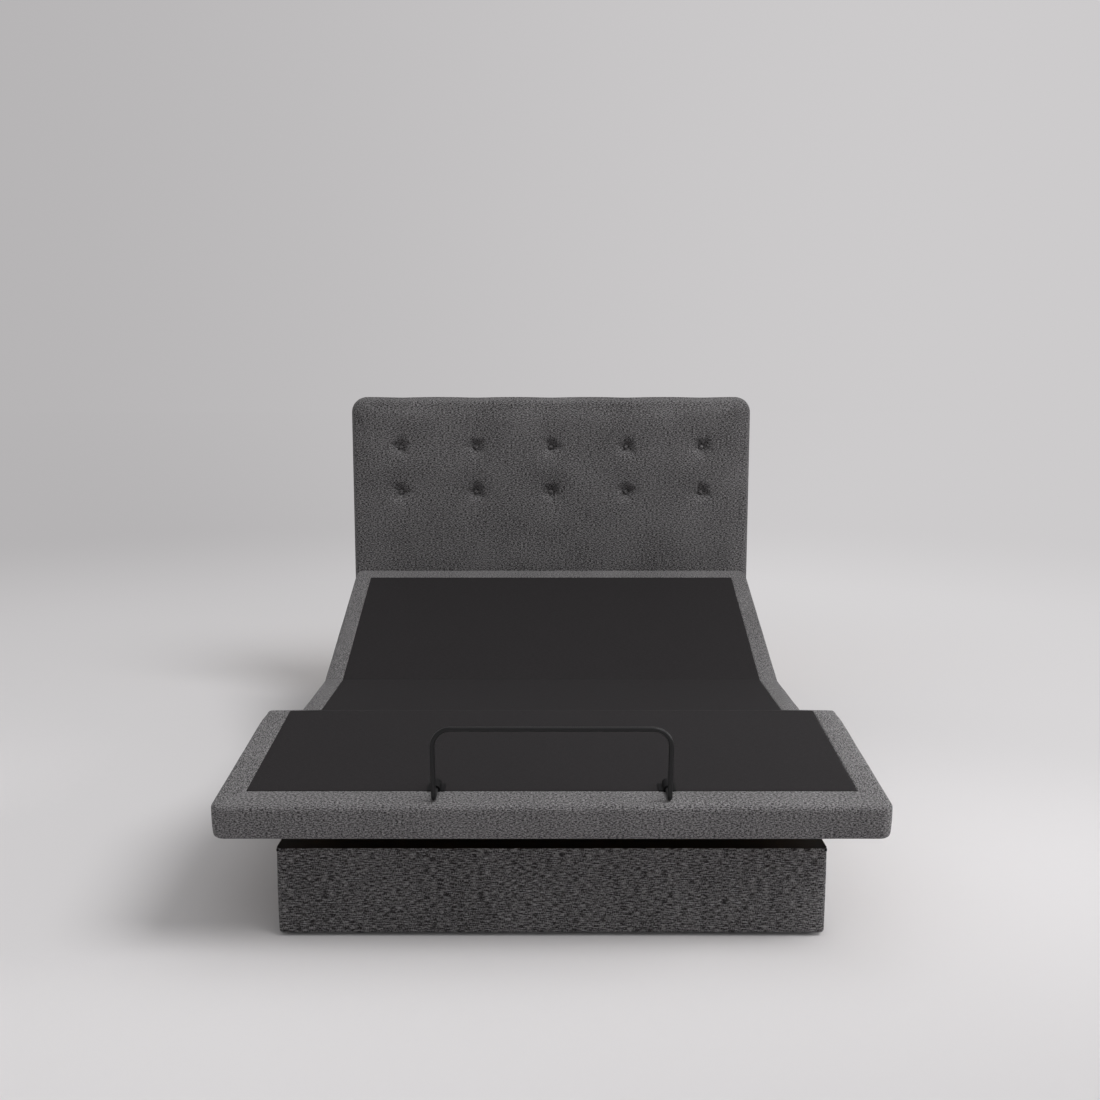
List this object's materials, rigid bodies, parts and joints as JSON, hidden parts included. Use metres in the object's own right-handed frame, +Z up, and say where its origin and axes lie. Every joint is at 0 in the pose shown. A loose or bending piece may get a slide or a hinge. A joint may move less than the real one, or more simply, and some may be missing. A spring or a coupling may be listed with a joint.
{
  "type": "adjustable bed base",
  "caption": "Adjustable bed base with folding upholstered deck, mattress retainer bar, box plinth and tufted headboard.",
  "frame": {"origin": "on the floor, under the middle of the whole object's box at rest", "axes": "+Z up, +X to the right seen from the foot end, +Y from the foot end to the head end"},
  "size_m": [1.583, 2.239, 1.255],
  "materials": {
    "particle_board": "raw particle board",
    "plinth_cloth": "charcoal melange upholstery cloth with a streaky weft",
    "black_laminate": "black laminate",
    "black_nylon": "moulded nylon",
    "black_steel": "black powder coat",
    "black_rubber": "matte rubber",
    "zinc_steel": "zinc plated steel",
    "black_plastic": "fine textured moulding",
    "drive_casing": "glass filled moulding",
    "chromed_rod": "hard chromed",
    "plywood": "raw plywood",
    "pine": "sawn pine",
    "border_cloth": "charcoal and grey melange upholstery cloth",
    "deck_cloth": "black anti-slip felt cloth",
    "headboard_cloth": "charcoal and grey melange upholstery cloth",
    "bar_steel": "satin black paint"
  },
  "bodies": {
    "base": {"plinth_foot_board": "particle_board", "plinth_head_board": "particle_board", "plinth_left_board": "particle_board", "plinth_right_board": "particle_board", "plinth_cover": "plinth_cloth", "corner_blocks": "particle_board", "toe_rails": "black_laminate", "floor_glides": "black_nylon", "top_ledge": "black_laminate", "rail_hangers": "black_steel", "chassis_side_rails": "black_steel", "chassis_cross_tubes": "black_steel", "centre_legs": "black_steel", "seat_posts": "black_steel", "rest_bumpers": "black_rubber", "chassis_ears": "black_steel", "drive_pins": "zinc_steel", "control_box": "black_plastic", "mains_inlet": "black_plastic", "seat_board": "plywood", "seat_frame": "pine", "seat_borders": "border_cloth", "seat_cloth": "deck_cloth", "back_hinge_fixed": "zinc_steel", "thigh_hinge_fixed": "zinc_steel", "headboard_panel": "plywood", "headboard_pad": "headboard_cloth", "headboard_buttons": "headboard_cloth", "headboard_legs": "black_steel", "headboard_brackets": "black_steel", "headboard_bolts": "zinc_steel"},
    "back_section": {"back_board": "plywood", "back_frame": "pine", "back_border": "border_cloth", "back_cloth": "deck_cloth", "back_lever": "black_steel", "back_hinge_moving": "zinc_steel"},
    "thigh_section": {"thigh_board": "plywood", "thigh_frame": "pine", "thigh_borders": "border_cloth", "thigh_cloth": "deck_cloth", "thigh_lever": "black_steel", "thigh_hinge_moving": "zinc_steel", "knee_hinge_fixed": "zinc_steel"},
    "foot_section": {"foot_board": "plywood", "foot_frame": "pine", "foot_border": "border_cloth", "foot_cloth": "deck_cloth", "foot_ears": "black_steel", "knee_hinge_moving": "zinc_steel", "bar_sockets": "black_plastic"},
    "bar": {"retainer_bar": "bar_steel"},
    "link": {"foot_link": "black_steel"},
    "back_drive": {"back_drive_body": "drive_casing", "back_drive_motor": "black_plastic"},
    "back_rod": {"back_drive_rod": "chromed_rod"},
    "thigh_drive": {"thigh_drive_body": "drive_casing", "thigh_drive_motor": "black_plastic"},
    "thigh_rod": {"thigh_drive_rod": "chromed_rod"}
  },
  "joints": [
    {"name": "back_hinge", "type": "hinge", "parent": "base", "child": "back_section", "pos_m": [0, 0.22655, 0.312], "axis": [1, 0, 0], "range_deg": [-20.2, 39.8]},
    {"name": "thigh_hinge", "type": "hinge", "parent": "base", "child": "thigh_section", "pos_m": [0, -0.15145, 0.312], "axis": [-1, 0, 0], "range_deg": [-15.4, 22.6]},
    {"name": "knee_hinge", "type": "hinge", "parent": "thigh_section", "child": "foot_section", "pos_m": [0, -0.56601, 0.42619], "axis": [1, 0, 0], "range_deg": [-22.5, 32.97]},
    {"name": "link_hinge", "type": "hinge", "parent": "base", "child": "link", "pos_m": [0, -0.37905, 0.237], "axis": [-1, 0, 0], "range_deg": [-18.43, 26.99]},
    {"name": "back_drive_pivot", "type": "hinge", "parent": "base", "child": "back_drive", "pos_m": [-0.15, -0.17895, 0.207], "axis": [1, 0, 0], "range_deg": [-1.06, 2.04]},
    {"name": "back_rod_slide", "type": "slide", "parent": "back_drive", "child": "back_rod", "axis": [0, 0.9999, 0.0131], "range_m": [-0.037, 0.0723]},
    {"name": "thigh_drive_pivot", "type": "hinge", "parent": "base", "child": "thigh_drive", "pos_m": [0.15, 0.24355, 0.207], "axis": [-1, 0, 0], "range_deg": [-0.82, 1.18]},
    {"name": "thigh_rod_slide", "type": "slide", "parent": "thigh_drive", "child": "thigh_rod", "axis": [0, -0.9999, 0.0127], "range_m": [-0.0276, 0.0403]},
    {"name": "bar_pull", "type": "slide", "parent": "foot_section", "child": "bar", "axis": [0, -0.9925, -0.1219], "range_m": [0, 0.045]}
  ],
  "couplings": [
    {"joint": "knee_hinge", "follows": "thigh_hinge", "ratio": 1.4545},
    {"joint": "link_hinge", "follows": "thigh_hinge", "ratio": 1.19},
    {"joint": "back_drive_pivot", "follows": "back_hinge", "ratio": 0.05},
    {"joint": "back_rod_slide", "follows": "back_hinge", "m_per_rad": 0.1034},
    {"joint": "thigh_drive_pivot", "follows": "thigh_hinge", "ratio": 0.05},
    {"joint": "thigh_rod_slide", "follows": "thigh_hinge", "m_per_rad": 0.10095}
  ]
}
